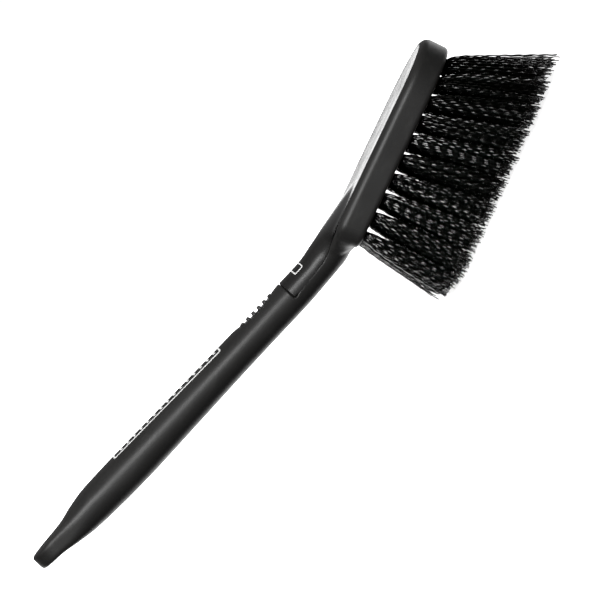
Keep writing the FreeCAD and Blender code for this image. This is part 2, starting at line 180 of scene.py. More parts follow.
def smooth_step(low, high, value):
    """Rises smoothly from 0 at low to 1 at high."""
    share = np.clip((value - low) / (high - low), 0.0, 1.0)
    return share * share * (3.0 - 2.0 * share)


def blend_union(a, b, width):
    """Union whose crease is melted over the given width."""
    near = np.maximum(width - np.abs(a - b), 0.0) / width
    return np.minimum(a, b) - near * near * width / 4


def blend_cut(a, b, width):
    """a without b, with a melted edge."""
    return -blend_union(-a, b, width)


def round_common(a, b, radius):
    """Intersection with its edge rounded to a true radius."""
    corner = np.hypot(np.maximum(a + radius, 0.0), np.maximum(b + radius, 0.0))
    return np.minimum(np.maximum(a, b), -radius) + corner


def smooth_curve(points, value):
    """A smooth curve through (position, height) points, read at the given positions."""
    xs = np.array([point[0] for point in points], float)
    ys = np.array([point[1] for point in points], float)
    slopes = np.gradient(ys, xs)
    value = np.clip(value, xs[0], xs[-1])
    index = np.clip(np.searchsorted(xs, value, side="right") - 1, 0, len(xs) - 2)
    span = xs[index + 1] - xs[index]
    share = (value - xs[index]) / span
    square = share * share
    cube = square * share
    start = (2 * cube - 3 * square + 1) * ys[index] + (cube - 2 * square + share) * span * slopes[index]
    end = (3 * square - 2 * cube) * ys[index + 1] + (cube - square) * span * slopes[index + 1]
    return start + end


def tufts_of_row(row):
    """The mouth and the lean of each tuft of one row, as (x, y, lean, splay) in millimetres and slopes."""
    place = FIRST_ROW + row * ROW_PITCH
    reach = HEAD_WIDTH / 2 - TUFT_EDGE_GAP
    past = max(place - TOE_CENTRE, 0.0)
    count = int(2 * math.sqrt(reach**2 - past**2) / COLUMN_PITCH) + 1
    lean = math.tan(math.radians(HEEL_LEAN + (TOE_LEAN - HEEL_LEAN) * row / (ROW_COUNT - 1)))
    tufts = []
    for column in range(count):
        across = (column - (count - 1) / 2) * COLUMN_PITCH
        splay = math.tan(math.radians(SIDE_SPLAY * across / (HEAD_WIDTH / 2)))
        tufts.append((place, across, lean, splay))
    return tufts


class Spine:
    """The bent centre line. A point is (u, y, v): distance along it, sideways, and out of the back."""

    STEP = 0.25
    FAR = 300.0

    def __init__(self):
        length = np.arange(0.0, BEND_LENGTH + self.STEP / 2, self.STEP)
        angle = HANDLE_ANGLE * smooth_step(0.0, BEND_LENGTH, length)
        middle = (angle[1:] + angle[:-1]) / 2
        back = np.concatenate([[0.0], np.cumsum(np.cos(middle)) * self.STEP])
        rise = np.concatenate([[0.0], np.cumsum(np.sin(middle)) * self.STEP]) + SPINE_LEVEL
        self.start = rise[-1] / math.tan(HANDLE_ANGLE) + HANDLE_START - back[-1]
        self.u = np.concatenate([[-self.FAR], length + self.start, [self.start + BEND_LENGTH + self.FAR]])
        self.angle = np.concatenate([[0.0], angle, [HANDLE_ANGLE]])
        self.back = np.concatenate([[-self.FAR], back + self.start, [0.0]])
        self.rise = np.concatenate([[SPINE_LEVEL], rise, [0.0]])
        self.back[-1] = self.back[-2] + self.FAR * math.cos(HANDLE_ANGLE)
        self.rise[-1] = self.rise[-2] + self.FAR * math.sin(HANDLE_ANGLE)
        end = np.array([-self.back[-2] + HANDLE_START, self.rise[-2]])
        self.handle_zero = self.u[-2] - float(end @ HANDLE_DIRECTION)

    def place(self, u, v):
        """(x, z) of points given by (u, v)."""
        angle = np.interp(u, self.u, self.angle)
        x = -np.interp(u, self.u, self.back) + v * np.sin(angle)
        z = np.interp(u, self.u, self.rise) + v * np.cos(angle)
        return x, z


spine = Spine()


def outline_distance(x, y):
    """Distance in plan from the outline of the head."""
    half = HEAD_WIDTH / 2
    toe = np.hypot(x - TOE_CENTRE, y) - half
    behind = HEEL_CORNER - HEAD_LENGTH / 2 - x
    aside = np.abs(y) - (half - HEEL_CORNER)
    outside = np.hypot(np.maximum(behind, 0.0), np.maximum(aside, 0.0))
    heel = outside + np.minimum(np.maximum(behind, aside), 0.0) - HEEL_CORNER
    return np.where(x > TOE_CENTRE, toe, heel)


def head_field(x, y, z):
    """The slab of the head, with its back edge and face edge rounded."""
    plan = outline_distance(x, y)
    upper = round_common(plan, z, BACK_ROUND)
    lower = round_common(plan, -HEAD_HEIGHT - z, FACE_ROUND)
    return np.where(z > -HEAD_HEIGHT / 2, upper, lower)


def section_field(along, y, v, inset=0.0):
    """The neck and handle, from one rounded section to the next, with a half-round end."""
    station = np.minimum(along, END_CENTRE)
    top = smooth_curve([(s[0], s[1]) for s in STATIONS], along) - inset
    bottom = smooth_curve([(s[0], s[2]) for s in STATIONS], along) + inset
    wide = smooth_curve([(s[0], s[3]) for s in STATIONS], station) - inset
    side = np.hypot(y, np.maximum(along - END_CENTRE, 0.0)) / wide
    thick = np.maximum((top - bottom) / 2, THINNEST_HALF)
    height = np.abs(v - (top + bottom) / 2) / thick
    power = smooth_curve(ROUNDNESS, along)
    reach = (side**power + height**power + 1e-9) ** (1 / power)
    steep = np.hypot((side / reach) ** (power - 1) / wide, (height / reach) ** (power - 1) / thick)
    front = STATIONS[0][0] - along
    return np.maximum((reach - 1) / np.maximum(steep, 1e-6), front)


def handle_coordinates(x, z):
    """Distance along the straight handle axis, and out of it."""
    along = (x + HANDLE_START) * HANDLE_DIRECTION[0] + z * HANDLE_DIRECTION[1]
    outward = (x + HANDLE_START) * HANDLE_OUTWARD[0] + z * HANDLE_OUTWARD[1]
    return along, outward


def rib_field(along, y, outward):
    """Low rounded bars across the thumb rest."""
    middle = (RIB_COUNT - 1) / 2
    number = np.clip(np.round((along - THUMB_ALONG) / RIB_PITCH + middle), 0, RIB_COUNT - 1)
    offset = along - THUMB_ALONG - (number - middle) * RIB_PITCH
    sides = round_common(np.abs(offset) - RIB_HALF_THICKNESS, np.abs(y) - RIB_HALF_WIDTH, RIB_EDGE)
    body = round_common(sides, outward - RIB_TOP, RIB_EDGE)
    return np.maximum(body, RIB_FOOT - outward)


def slot_field(along, y):
    """The hanging slot as an endless obround bar, out of the back."""
    reach = (SLOT_LENGTH - SLOT_WIDTH) / 2
    past = np.maximum(np.abs(along - SLOT_ALONG) - reach, 0.0)
    return np.hypot(past, y) - SLOT_WIDTH / 2


def hole_field(x, y, z):
    """The nearest tuft hole: a round bar along the lean of its tuft, with a small flare at the mouth."""
    result = np.full(x.shape, FAR_AWAY)
    near = (z < HOLE_DEPTH + 2.0 - HEAD_HEIGHT) & (x > -HEAD_LENGTH / 2)
    x, y, z = x[near], y[near], z[near]
    depth = z + HEAD_HEIGHT
    best = np.full(x.shape, FAR_AWAY)
    for row in range(ROW_COUNT):
        tufts = np.array(tufts_of_row(row))
        number = np.round(y / COLUMN_PITCH + (len(tufts) - 1) / 2).astype(int)
        place, across, lean, splay = tufts[np.clip(number, 0, len(tufts) - 1)].T
        radial = np.hypot(x - place + lean * depth, y - across + splay * depth)
        radius = HOLE_RADIUS + np.maximum(HOLE_FLARE - np.maximum(depth, 0.0), 0.0)
        best = np.minimum(best, np.maximum(radial - radius, depth - HOLE_DEPTH))
    result[near] = best
    return result


def melt_width(x, y, z):
    """How far the crease between head and neck is melted."""
    wall = smooth_step(*WALL_ASIDE, np.abs(y)) * smooth_step(*WALL_ALONG, x)
    melt = MELT * smooth_step(*MELT_BEHIND, -x) * (1.0 - wall) + CREASE
    level = smooth_step(*SHOULDER_LOW, z) * smooth_step(*SHOULDER_HIGH, z)
    place = smooth_step(*SHOULDER_BEHIND, -x) * smooth_step(*SHOULDER_ASIDE, np.abs(y))
    return melt + SHOULDER * level * place


def outer_field(u, y, v):
    """The whole outside of the brush body."""
    x, z = spine.place(u, v)
    handle = section_field(u - spine.handle_zero, y, v)
    body = blend_union(head_field(x, y, z), handle, melt_width(x, y, z))
    straight, outward = handle_coordinates(x, z)
    above = outward - THUMB_FLOOR - THUMB_RADIUS
    thumb = np.sqrt((straight - THUMB_ALONG) ** 2 + (y * THUMB_SQUEEZE) ** 2 + above**2) - THUMB_RADIUS
    body = blend_cut(body, thumb, THUMB_EDGE)
    body = blend_union(body, rib_field(straight, y, outward), RIB_MELT)
    inside = np.clip((-outline_distance(x, y) - RIM_INSET) / PLATE_HALF, 0.0, 1.0)
    sink = PLATE_SINK * inside * (2.0 - inside) * smooth_step(*SINK_ALONG, x)
    body = body + sink * smooth_step(*SINK_UNDER, z)
    return round_common(body, -slot_field(straight, y), SLOT_EDGE)


def tool_field(u, y, v):
    """The space of the hard shot, with the place (x, z) of each point."""
    x, z = spine.place(u, v)
    plan = outline_distance(x, y)
    plate = np.minimum(np.maximum(plan + FACE_INSET, z + RIM_STEP), plan + RIM_INSET)
    straight, _ = handle_coordinates(x, z)
    edge = smooth_curve(list(reversed(EDGE_LINE)), x)
    neck = round_common(edge - z, straight - SEAM_ALONG, SEAM_CORNER)
    neck = np.maximum(neck, x - EDGE_LINE[0][0])
    rib = np.maximum(section_field(u - spine.handle_zero, y, v, COVER), straight - SPINE_END)
    return np.minimum(np.minimum(plate, neck), rib), x, z


def seam_size(x, z):
    """Half the gap between the shots and the radius of its edges."""
    straight, _ = handle_coordinates(x, z)
    share = np.maximum(smooth_step(*GRIP_SEAM, straight), smooth_step(*HEAD_SEAM, x))
    return FINE_GAP + (GAP - FINE_GAP) * share, FINE_EDGE + (GAP_EDGE - FINE_EDGE) * share


def soft_field(points):
    """The soft shot: the outside without the space of the hard shot."""
    u, y, v = points
    tool, x, z = tool_field(u, y, v)
    on_back = smooth_step(*LIP_ABOVE, z) * smooth_step(*LIP_ALONG, x)
    lip = LIP_HEIGHT * on_back * np.exp(-(((tool - LIP_OFFSET) / LIP_HALF_WIDTH) ** 2))
    gap, edge = seam_size(x, z)
    return round_common(outer_field(u, y, v) - lip, gap - tool, edge)


def hard_field(points):
    """The hard shot: what the outside and the space of the hard shot share, drilled for the tufts."""
    u, y, v = points
    tool, x, z = tool_field(u, y, v)
    gap, edge = seam_size(x, z)
    return np.maximum(round_common(outer_field(u, y, v), gap + tool, edge), -hole_field(x, y, z))


# Meshing ------------------------------------------------------------------------------------------

CELL = 0.62

# Grid along the handle: the end of each stretch from the handle's start, and its cell against the plain one.
GRID_STRETCHES = [(12.0, 1.0), (43.0, 0.9), (146.0, 2.5), (END_CENTRE + 15.0, 1.0)]
GRID_SIDE = HEAD_WIDTH / 2 + 1.2
GRID_TOE = -HEAD_LENGTH / 2 - 1.5
GRID_LOW = -9.6
GRID_HIGH = 11.0
GRID_SLICE = 40

PROBE = 0.02
FLATTEST = 0.2
LONGEST_STEP = 0.4


def grid_axes(cell):
    """Grid lines along u, y and v. The plain stretch of the grip takes longer cells."""
    lines = []
    start = GRID_TOE
    for place, share in GRID_STRETCHES:
        end = spine.handle_zero + place
        count = max(int(round((end - start) / (cell * share))), 1)
        lines.append(np.linspace(start, end, count, endpoint=False))
        start = end
    rows = int(round(2 * GRID_SIDE / cell))
    sides = np.linspace(-GRID_SIDE, GRID_SIDE, rows + 1)
    layers = int(round((GRID_HIGH - GRID_LOW) / cell))
    heights = np.linspace(GRID_LOW, GRID_HIGH, layers + 1)
    return np.concatenate(lines), sides, heights


def field_on_grid(field, axes):
    """The field at every grid point, worked out a slice at a time."""
    values = []
    for start in range(0, len(axes[0]), GRID_SLICE):
        chunk = np.meshgrid(axes[0][start : start + GRID_SLICE], axes[1], axes[2], indexing="ij")
        values.append(field(chunk).astype(np.float32))
    return np.concatenate(values)


def surface_net(values, axes):
    """Vertices and quads of the zero surface: one vertex in each cell that it crosses."""
    inside = values < 0
    cells = tuple(n - 1 for n in values.shape)
    corners = [(i, j, k) for i in (0, 1) for j in (0, 1) for k in (0, 1)]
    filled = np.zeros(cells, np.int8)
    for i, j, k in corners:
        filled += inside[i : i + cells[0], j : j + cells[1], k : k + cells[2]]
    active = np.argwhere((filled > 0) & (filled < 8))
    index = np.full(cells, -1, np.int32)
    index[tuple(active.T)] = np.arange(len(active))
    total = np.zeros((len(active), 3))
    hits = np.zeros(len(active))
    for first in corners:
        for axis in range(3):
            if first[axis]:
                continue
            second = tuple(1 if n == axis else first[n] for n in range(3))
            a = active + first
            b = active + second
            value_a = values[tuple(a.T)].astype(float)
            value_b = values[tuple(b.T)].astype(float)
            crossed = (value_a < 0) != (value_b < 0)
            share = np.where(crossed, value_a / np.where(crossed, value_a - value_b, 1.0), 0.0)
            place_a = np.stack([axes[n][a[:, n]] for n in range(3)], 1)
            place_b = np.stack([axes[n][b[:, n]] for n in range(3)], 1)
            total += np.where(crossed[:, None], place_a + (place_b - place_a) * share[:, None], 0.0)
            hits += crossed
    quads = []
    for axis in range(3):
        one, two = [n for n in range(3) if n != axis]
        low = np.swapaxes(inside, 0, axis)[:-1].swapaxes(0, axis)
        high = np.swapaxes(inside, 0, axis)[1:].swapaxes(0, axis)
        edges = np.argwhere(low != high)
        keep = np.ones(len(edges), bool)
        for n in (one, two):
            keep &= (edges[:, n] > 0) & (edges[:, n] < cells[n])
        edges = edges[keep]
        ring = []
        for shift_one, shift_two in ((1, 1), (0, 1), (0, 0), (1, 0)):
            cell = edges.copy()
            cell[:, one] -= shift_one
            cell[:, two] -= shift_two
            ring.append(index[tuple(cell.T)])
        ring = np.stack(ring, 1)
        flip = low[tuple(edges.T)] ^ (axis == 1)
        ring[~flip] = ring[~flip][:, ::-1]
        quads.append(ring)
    return total / hits[:, None], np.concatenate(quads)


def project(points, field, rounds):
    """Moves points onto the zero surface of the field."""
    for _ in range(rounds):
        value = field(points.T)
        slope = np.empty_like(points)
        for axis in range(3):
            shift = np.zeros(3)
            shift[axis] = PROBE
            slope[:, axis] = (field((points + shift).T) - field((points - shift).T)) / (2 * PROBE)
        size = np.maximum((slope**2).sum(1), FLATTEST)
        step = np.clip(value / size, -LONGEST_STEP, LONGEST_STEP)
        points = points - slope * step[:, None]
    return points


def relax(points, quads, field, rounds):
    """Evens out the spacing of the vertices, and keeps them on the surface."""
    edges = np.concatenate([quads[:, [n, (n + 1) % 4]] for n in range(4)])
    degree = np.bincount(edges.ravel(), minlength=len(points)).astype(float)
    for _ in range(rounds):
        mean = np.empty_like(points)
        for axis in range(3):
            forth = np.bincount(edges[:, 0], points[edges[:, 1], axis], len(points))
            back = np.bincount(edges[:, 1], points[edges[:, 0], axis], len(points))
            mean[:, axis] = (forth + back) / degree
        points = project(points * 0.5 + mean * 0.5, field, 1)
    return points


def mesh_from_field(name, field, cell):
    """A mesh object of the zero surface of a field."""
    axes = grid_axes(cell)
    points, quads = surface_net(field_on_grid(field, axes), axes)
    points = project(points, field, 2)
    points = relax(points, quads, field, 3)
    points = project(points, field, 1)
    x, z = spine.place(points[:, 0], points[:, 2])
    return make_piece(name, np.stack([x, points[:, 1], z], 1), quads[:, ::-1])


def make_piece(name, vertices, quads, caps=None):
    """A smooth-shaded mesh object from arrays, in millimetres; caps are flat end faces."""
    groups = [quads] if caps is None else [quads, caps]
    corners = np.concatenate([group.ravel() for group in groups])
    sizes = np.concatenate([np.full(len(group), group.shape[1]) for group in groups])
    smooth = np.ones(len(sizes), bool)
    smooth[len(quads) :] = False
    mesh = bpy.data.meshes.new(name)
    mesh.vertices.add(len(vertices))
    mesh.vertices.foreach_set("co", (vertices * MM).astype(np.float32).ravel())
    mesh.loops.add(len(corners))
    mesh.loops.foreach_set("vertex_index", corners.astype(np.int32))
    mesh.polygons.add(len(sizes))
    mesh.polygons.foreach_set("loop_start", (np.cumsum(sizes) - sizes).astype(np.int32))
    mesh.polygons.foreach_set("use_smooth", smooth)
    mesh.update(calc_edges=True)
    item = bpy.data.objects.new(name, mesh)
    bpy.context.scene.collection.objects.link(item)
    return item


def build_body():
    """The two shots, each a closed mesh that stands for its CAD node."""
    cell = CELL
    shots = (
        ("hard_core", hard_field, "core", "hard_plastic", gloss_plastic()),
        ("soft_cover", soft_field, "soft_overmould", "soft_rubber", satin_rubber()),
    )
    for name, field, node, slot_name, material in shots:
        item = mesh_from_field(name, field, cell)
        item.data.materials.append(material)
        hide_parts(node)
        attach(item, "root")


# Filaments ----------------------------------------------------------------------------------------

STRANDS_PER_TUFT = 26
FILAMENT_RADIUS = 0.24
FILAMENT_SIDES = 5
ROOT_RADIUS = 2.35
ROW_SEED = 100

# Places in the root: rows of a triangular packing that fills this share of the disc, slightly disordered.
PACK_SHARE = 0.9
PACK_ROW = 0.866
PACK_REACH = 8
PLACE_SPREAD = 0.06

# Crimp: one wave across the head and a lower one along it, a quarter turn later.
WAVE_LENGTH = 5.5
WAVE_LENGTH_SPREAD = 0.012
WAVE_HEIGHT = 0.23
WAVE_HEIGHT_SPREAD = 0.13
WAVE_START = 3.0
SIDE_WAVE = 0.7
STEPS_PER_WAVE = 6
PHASE_SPREAD = 1.9
TURN_RANGE = 0.3
TURN_SPREAD = 0.3
SLANT_RANGE = 0.9

# Flare: a quick one near the root, which is wider and shorter towards the toe, and a slow one.
QUICK_FLARE = 0.75
TOE_FLARE = 1.3
FLARE_REACH = 0.14
TOE_FLARE_REACH = 0.05
SLOW_FLARE = 0.95
TOE_LEANS = (0.34, 0.46)
TOE_SIDE = 0.04

# Bends: the leaning tufts curve back, single strands wander, and the outermost ones stand off.
MIDDLE_LEAN = 0.16
INWARD_CURVE = 7.0
BEND_POWER = 1.5
WANDER = 0.75
STRAY_SHARE = 0.05
STRAY_WANDER = 2.6
LOOSE_COUNT = 1
LOOSE_REACH = 3.2

# Trim: how far the tips end short of the trim plane, more for leaning tufts and outside the heel row.
TRIM_SHORT = 2.1
LEAN_TRIM = 3.6
HEEL_TRIM = 4.5
UNEVEN_TRIM = 0.8
DEEPEST_TRIM = 3.0

# Fold under the anchor: less deep for the strands further out.
FOLD_DEPTH = 8.1
FOLD_STEPS = 7
FOLD_SLOPE = 0.4
FOLD_SAG = 0.55
FOLD_SHIFT = 0.5


def packed_disc(count, rng):
    """Places for filaments in half a disc, evenly packed, with a little disorder."""
    spacing = ROOT_RADIUS * math.sqrt(math.pi / (2 * count * PACK_SHARE))
    steps = np.arange(-PACK_REACH, PACK_REACH + 1)
    across, up = np.meshgrid(steps, steps)
    forward = (up.ravel() * PACK_ROW + 0.5) * spacing
    sideways = (across + (up % 2) / 2).ravel() * spacing
    places = np.stack([forward, sideways], 1)
    places = places[places[:, 0] > 0]
    order = np.argsort((places**2).sum(1))[:count]
    return places[order] + rng.normal(0.0, PLACE_SPREAD, (count, 2))


def free_lengths(places, lean, splay, outward, wander, rng):
    """Centre lines of the free filament ends of a tuft: an array of points for each end."""
    count = len(places)
    depth = TRIM_DROP - HEAD_HEIGHT
    steps = int(depth / WAVE_LENGTH * STEPS_PER_WAVE)
    short = TRIM_SHORT + LEAN_TRIM * (lean - MIDDLE_LEAN)
    ends = depth - short + np.clip(rng.normal(0.0, UNEVEN_TRIM, count), -DEEPEST_TRIM, TRIM_SHORT / 2)
    if outward < 0:
        ends -= HEEL_TRIM * (0.5 - places[:, 0] / (2 * ROOT_RADIUS))
    drop = ends[:, None] * np.linspace(0.0, 1.0, steps)[None, :]
    share = drop / depth
    toe = smooth_step(*TOE_LEANS, lean + TOE_SIDE * places[:, 0:1] / ROOT_RADIUS)
    quick = QUICK_FLARE + (TOE_FLARE - QUICK_FLARE) * toe
    reach = FLARE_REACH + (TOE_FLARE_REACH - FLARE_REACH) * toe
    flare = 1.0 + quick * (1.0 - np.exp(-share / reach)) + SLOW_FLARE * share
    curve = share**BEND_POWER
    bend = wander[:, :, None] * curve[:, None, :]
    bend[:, 0] -= INWARD_CURVE * (lean - MIDDLE_LEAN) * curve
    x = places[:, 0:1] * flare + bend[:, 0] + lean * drop
    y = places[:, 1:2] * flare + bend[:, 1] + splay * drop
    return np.stack([x, y, -drop], 2)


def crimp(points, phase, turn, rng):
    """Adds the slightly helical wave pressed into the filaments; it dies out inside the hole."""
    count = len(points)
    along = -points[:, :, 2]
    length = WAVE_LENGTH * rng.normal(1.0, WAVE_LENGTH_SPREAD, (count, 1))
    start = phase + rng.normal(0.0, PHASE_SPREAD, (count, 1))
    height = WAVE_HEIGHT * rng.normal(1.0, WAVE_HEIGHT_SPREAD, (count, 1))
    height = height * smooth_step(0.0, WAVE_START, along)
    turns = 2 * np.pi * along / length + start
    swing = height * np.sin(turns)
    sway = height * SIDE_WAVE * np.cos(turns)
    angle = turn + rng.normal(0.0, TURN_SPREAD, (count, 1))
    points[:, :, 0] += swing * np.cos(angle) - sway * np.sin(angle)
    points[:, :, 1] += swing * np.sin(angle) + sway * np.cos(angle)
    return points


def folds(half, lean, splay):
    """Centre lines of the folds that join the two sides of each strand."""
    turn = np.linspace(0.0, np.pi, FOLD_STEPS)[None, :]
    low = FOLD_DEPTH - np.abs(half[:, 0:1]) * FOLD_SLOPE
    x = half[:, 0:1] * np.cos(turn) - lean * (low + FOLD_SHIFT)
    y = half[:, 1:2] * np.ones_like(turn) - splay * (low + FOLD_SHIFT)
    return np.stack([x, y, low + FOLD_SAG * np.sin(turn)], 2)


def strands_of_tuft(tuft, outward, rng):
    """Whole strands: each comes down one side, folds under the anchor and goes back up the other side."""
    x, y, lean, splay = tuft
    half = packed_disc(STRANDS_PER_TUFT, rng)
    phase = rng.uniform(0, 2 * np.pi)
    turn = np.pi / 2 + rng.uniform(-TURN_RANGE, TURN_RANGE)
    slant = rng.uniform(-SLANT_RANGE, SLANT_RANGE)
    sides = []
    for sign in (1.0, -1.0):
        places = half * (sign, 1.0)
        wander = rng.normal(0.0, WANDER, (len(half), 2))
        stray = rng.random(len(half)) < STRAY_SHARE
        wander[stray] *= STRAY_WANDER
        loose = np.argsort(-places[:, 0] * outward)[:LOOSE_COUNT]
        wander[loose, 0] += outward * rng.uniform(0.0, LOOSE_REACH, LOOSE_COUNT)
        local = phase + slant * places[:, 0:1]
        sides.append(crimp(free_lengths(places, lean, splay, outward, wander, rng), local, turn, rng))
    strands = np.concatenate([sides[0][:, ::-1], folds(half, lean, splay), sides[1]], 1)
    return strands + np.array([x, y, -HEAD_HEIGHT])


def tubes(lines):
    """Closed tubes round many centre lines of the same number of points: vertices, quads and end caps."""
    count, steps, _ = lines.shape
    ahead = np.gradient(lines, axis=1)
    ahead /= np.linalg.norm(ahead, axis=2, keepdims=True)
    across = np.array([0.0, 1.0, 0.0]) - ahead * ahead[:, :, 1:2]
    across /= np.linalg.norm(across, axis=2, keepdims=True)
    other = np.cross(ahead, across)
    angle = 2 * np.pi * np.arange(FILAMENT_SIDES) / FILAMENT_SIDES
    ring = across[:, :, None] * np.cos(angle)[:, None] + other[:, :, None] * np.sin(angle)[:, None]
    vertices = (lines[:, :, None] + ring * FILAMENT_RADIUS).reshape(-1, 3)
    base = np.arange(count * steps).reshape(count, steps)[:, :-1, None] * FILAMENT_SIDES
    here = np.arange(FILAMENT_SIDES)
    after = (here + 1) % FILAMENT_SIDES
    above = base + FILAMENT_SIDES
    quads = np.stack([base + here, base + after, above + after, above + here], 3)
    starts = (np.arange(count) * steps * FILAMENT_SIDES)[:, None]
    first = starts + here[::-1]
    last = starts + (steps - 1) * FILAMENT_SIDES + here
    return vertices, quads.reshape(-1, 4), np.concatenate([first, last])


def build_tufts():
    """One piece for each row: every filament is its own closed tube."""
    material = bristle_plastic()
    for row in range(ROW_COUNT):
        rng = np.random.default_rng(ROW_SEED + row)
        outward = {0: -1.0, ROW_COUNT - 1: 1.0}.get(row, 0.0)
        lines = np.concatenate([strands_of_tuft(tuft, outward, rng) for tuft in tufts_of_row(row)])
        vertices, quads, caps = tubes(lines)
        item = make_piece(f"filaments_row_{row + 1:02d}", vertices, quads, caps)
        tone = item.data.attributes.new("tone", "FLOAT", "POINT")
        shade = np.repeat(rng.random(len(lines)), lines.shape[1] * FILAMENT_SIDES)
        tone.data.foreach_set("value", shade.astype(np.float32))
        item.data.materials.append(material)
        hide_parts(f"tufts_row_{row + 1:02d}")
        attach(item, "root")


# Printed outline ----------------------------------------------------------------------------------

# The ink stands on the surface by its lift, and reaches under it by its depth.
INK_LIFT = 0.035
INK_DEPTH = 0.05

# Boxes: start and end along the handle, half widths there, corner radius, step between points, line width.
GRIP_BOX = (52.3, 121.0, 7.7, 6.9, 0.8, 1.0, 0.95)
NECK_BOX = (-1.8, 3.2, 8.7, 8.7, 0.4, 0.5, 0.6)
CORNER_STEPS = 7

# Slanted bars in the grip's box.
BAR_COUNT = 15
FIRST_BAR = 56.0
BAR_PITCH = 4.35
BAR_SLANT = 1.0
BAR_HALF_LENGTH = 5.2
BAR_WIDTH = 1.3
BAR_STEPS = 11

# Search for the back surface: from below it to above it, with this many halvings.
BACK_BELOW = 3.0
BACK_ABOVE = 12.0
HALVINGS = 26


def back_height(along, y):
    """Height of the back surface of the handle over points given along the handle axis and across."""
    u = along + spine.handle_zero
    low = np.full_like(along, BACK_BELOW)
    high = np.full_like(along, BACK_ABOVE)
    for _ in range(HALVINGS):
        middle = (low + high) / 2
        inside = outer_field(u, y, middle) < 0
        low = np.where(inside, middle, low)
        high = np.where(inside, high, middle)
    return (low + high) / 2


def ink_ribbon(path, width, closed):
    """A thin closed ribbon of ink along a path on the back of the handle: vertices and quads."""
    path = np.asarray(path, float)
    if closed:
        ahead = np.roll(path, -1, axis=0) - np.roll(path, 1, axis=0)
    else:
        ahead = np.gradient(path, axis=0)
    ahead /= np.linalg.norm(ahead, axis=1, keepdims=True)
    aside = np.stack([-ahead[:, 1], ahead[:, 0]], 1) * width / 2
    left, right = path + aside, path - aside
    corners = []
    for points, lift in ((left, INK_LIFT), (right, INK_LIFT), (right, -INK_DEPTH), (left, -INK_DEPTH)):
        height = back_height(points[:, 0], points[:, 1]) + lift
        x, z = spine.place(points[:, 0] + spine.handle_zero, height)
        corners.append(np.stack([x, points[:, 1], z], 1))
    vertices = np.stack(corners, 1).reshape(-1, 3)
    count = len(path)
    here = np.arange(count if closed else count - 1)
    there = (here + 1) % count
    quads = [
        np.stack([4 * here + k, 4 * there + k, 4 * there + (k + 1) % 4, 4 * here + (k + 1) % 4], 1)
        for k in range(4)
    ]
    if not closed:
        last = 4 * (count - 1)
        quads.append(np.array([[0, 1, 2, 3], [last + 3, last + 2, last + 1, last]]))
    return vertices, np.concatenate(quads)


def rounded_box_path(start, end, start_half, end_half, radius, step):
    """Points round a tapering box with round corners, in (along, across)."""
    corners = [
        (end - radius, end_half - radius, 0),
        (start + radius, start_half - radius, 90),
        (start + radius, radius - start_half, 180),
        (end - radius, radius - end_half, 270),
    ]
    points = []
    for centre_along, centre_across, first in corners:
        for turn in np.linspace(0, 90, CORNER_STEPS):
            angle = math.radians(first + turn)
            along = centre_along + radius * math.cos(angle)
            points.append((along, centre_across + radius * math.sin(angle)))
    points.append(points[0])
    path = []
    for a, b in zip(points, points[1:]):
        pieces = max(int(math.dist(a, b) / step), 1)
        for n in range(pieces):
            path.append((a[0] + (b[0] - a[0]) * n / pieces, a[1] + (b[1] - a[1]) * n / pieces))
    return path


def build_print():
    """A plain outline with slanted bars on the grip, and a small open box on the neck."""
    parts = [ink_ribbon(rounded_box_path(*box[:-1]), box[-1], True) for box in (GRIP_BOX, NECK_BOX)]
    for number in range(BAR_COUNT):
        middle = FIRST_BAR + number * BAR_PITCH
        bar = [(middle + BAR_SLANT * t, BAR_HALF_LENGTH * t) for t in np.linspace(-1, 1, BAR_STEPS)]
        parts.append(ink_ribbon(bar, BAR_WIDTH, False))
    offset, vertices, quads = 0, [], []
    for part_vertices, part_quads in parts:
        vertices.append(part_vertices)
        quads.append(part_quads + offset)
        offset += len(part_vertices)
    item = make_piece("printed_outline", np.concatenate(vertices), np.concatenate(quads))
    item.data.materials.append(print_ink())
    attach(item, "root")


# Materials ----------------------------------------------------------------------------------------

# Colours: the two ends of each range of shades, and what dust, scuffs and wear blend in, with their share.
PLASTIC_SHADES = ((0.0105, 0.0103, 0.0102), (0.0155, 0.0152, 0.0148))
DUST_COLOUR = (0.11, 0.105, 0.095)
DUST_SHARE = 0.35
RUBBER_SHADES = ((0.0145, 0.0143, 0.0140), (0.0215, 0.0212, 0.0205))
SCUFF_COLOUR = (0.034, 0.033, 0.031)
SCUFF_SHARE = 0.3
FILAMENT_SHADES = ((0.0010, 0.0010, 0.0009), (0.0032, 0.0028, 0.0024))
SPOT_COLOUR = (0.01, 0.009, 0.008)
SPOT_SHARE = 0.5
STEEL_SHADES = ((0.46, 0.44, 0.41), (0.66, 0.64, 0.6))
INK_SHADES = ((0.8, 0.8, 0.79), (0.9, 0.9, 0.89))
WORN_COLOUR = (0.3, 0.3, 0.3)
WORN_SHARE = 0.45

# Roughness: the range of each material, and what each pattern adds to it.
PLASTIC_ROUGHNESS = (0.16, 0.22)
SCRATCH_ROUGHNESS = 0.1
DUST_ROUGHNESS = 0.2
RUBBER_ROUGHNESS = (0.4, 0.5)
SCUFF_ROUGHNESS = 0.07
GRAIN_ROUGHNESS = (-0.03, 0.03)
FILAMENT_ROUGHNESS = (0.16, 0.1)
DRAW_ROUGHNESS = (-0.02, 0.03)
STEEL_ROUGHNESS = (0.25, 0.4)
DULL_PATCHES = (0.0, 0.15)
INK_ROUGHNESS = (0.45, 0.55)
WORN_ROUGHNESS = 0.15

# The neck is duller than the plate: the change in metres along X, and what it adds to the roughness.
DULL_NECK = (-0.056, -0.044)
DULL_ADDED = (0.2, 0.0)

# Only filaments of a high tone are polished: the tones over which this changes, and the polish.
POLISHED_TONES = (0.4, 0.8)
FILAMENT_POLISH = (0.06, 1.2)

